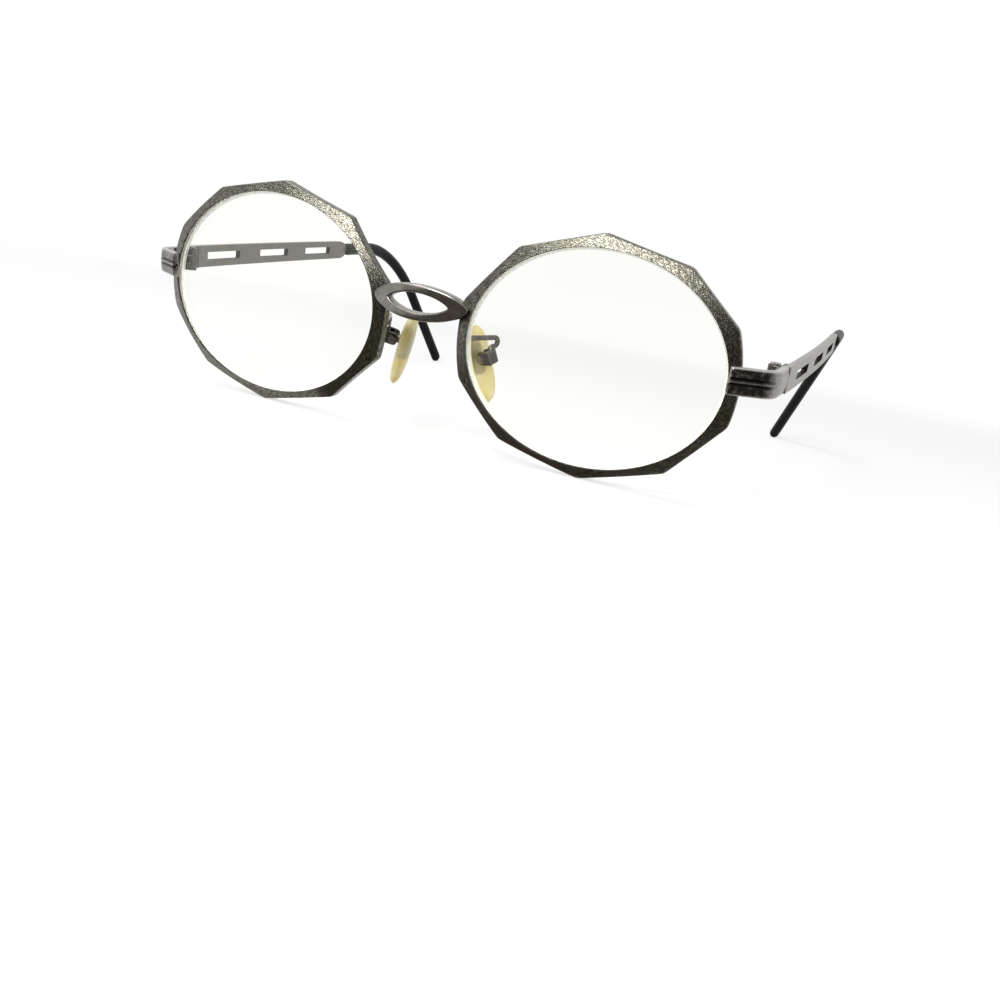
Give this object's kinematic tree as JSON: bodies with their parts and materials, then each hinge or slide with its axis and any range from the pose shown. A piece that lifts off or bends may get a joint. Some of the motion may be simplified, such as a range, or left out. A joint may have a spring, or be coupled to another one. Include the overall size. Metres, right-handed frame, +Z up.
{
  "type": "oval eyeglasses",
  "caption": "Metal eyeglasses with ten-cornered oval rims, a pierced bridge, rocking nose pads and slotted side arms that fold.",
  "frame": {"origin": "middle of the bounding box's underside, on the table that the open pair stands on", "axes": "+X towards the wearer's left, +Y from the front back towards the ears, +Z up"},
  "size_m": [0.1458, 0.1466, 0.0436],
  "materials": {
    "rim_metal": "antique pewter, cross-brushed and rubbed bright on its edges",
    "bridge_metal": "smooth antique silver with bright bevels",
    "endpiece_metal": "antique silver, dark in its grooves",
    "block_metal": "dull antique silver",
    "temple_metal": "satin silver, brushed lengthwise",
    "wire_metal": "dark polished wire",
    "screw_metal": "plain steel",
    "insert_metal": "dull nickel silver",
    "lens": "clear",
    "tip_plastic": "satin black",
    "pad_plastic": "clear, yellowed with age"
  },
  "bodies": {
    "front": {"bridge": "bridge_metal", "left_rim": "rim_metal", "left_lens": "lens", "left_endpiece": "endpiece_metal", "left_closing_block_upper": "block_metal", "left_closing_block_lower": "block_metal", "left_closing_screw": "screw_metal", "left_front_hinge": "block_metal", "left_hinge_screw": "screw_metal", "left_pad_arm": "wire_metal", "left_pad_box": "wire_metal", "left_pad_screw": "screw_metal", "right_rim": "rim_metal", "right_lens": "lens", "right_endpiece": "endpiece_metal", "right_closing_block_upper": "block_metal", "right_closing_block_lower": "block_metal", "right_closing_screw": "screw_metal", "right_front_hinge": "block_metal", "right_hinge_screw": "screw_metal", "right_pad_arm": "wire_metal", "right_pad_box": "wire_metal", "right_pad_screw": "screw_metal"},
    "left_side_arm": {"left_temple_hinge": "block_metal", "left_temple": "temple_metal", "left_temple_tip": "tip_plastic"},
    "right_side_arm": {"right_temple_hinge": "block_metal", "right_temple": "temple_metal", "right_temple_tip": "tip_plastic"},
    "left_pad": {"left_pad_insert": "insert_metal", "left_nose_pad": "pad_plastic"},
    "right_pad": {"right_pad_insert": "insert_metal", "right_nose_pad": "pad_plastic"}
  },
  "joints": [
    {"name": "left_temple_fold", "type": "hinge", "parent": "front", "child": "left_side_arm", "pos_m": [0.06374, -0.05661, 0.02463], "axis": [0, -0.1036, 0.9946], "range_deg": [0, 90]},
    {"name": "right_temple_fold", "type": "hinge", "parent": "front", "child": "right_side_arm", "pos_m": [-0.06374, -0.05661, 0.02463], "axis": [0, 0.1036, -0.9946], "range_deg": [0, 76]},
    {"name": "left_pad_rock", "type": "hinge", "parent": "front", "child": "left_pad", "pos_m": [0.0103, -0.05943, 0.01759], "axis": [0.2462, 0.8817, 0.4026], "range_deg": [-10, 10]},
    {"name": "right_pad_rock", "type": "hinge", "parent": "front", "child": "right_pad", "pos_m": [-0.0103, -0.05943, 0.01759], "axis": [0.2462, -0.8817, -0.4026], "range_deg": [-10, 10]}
  ]
}
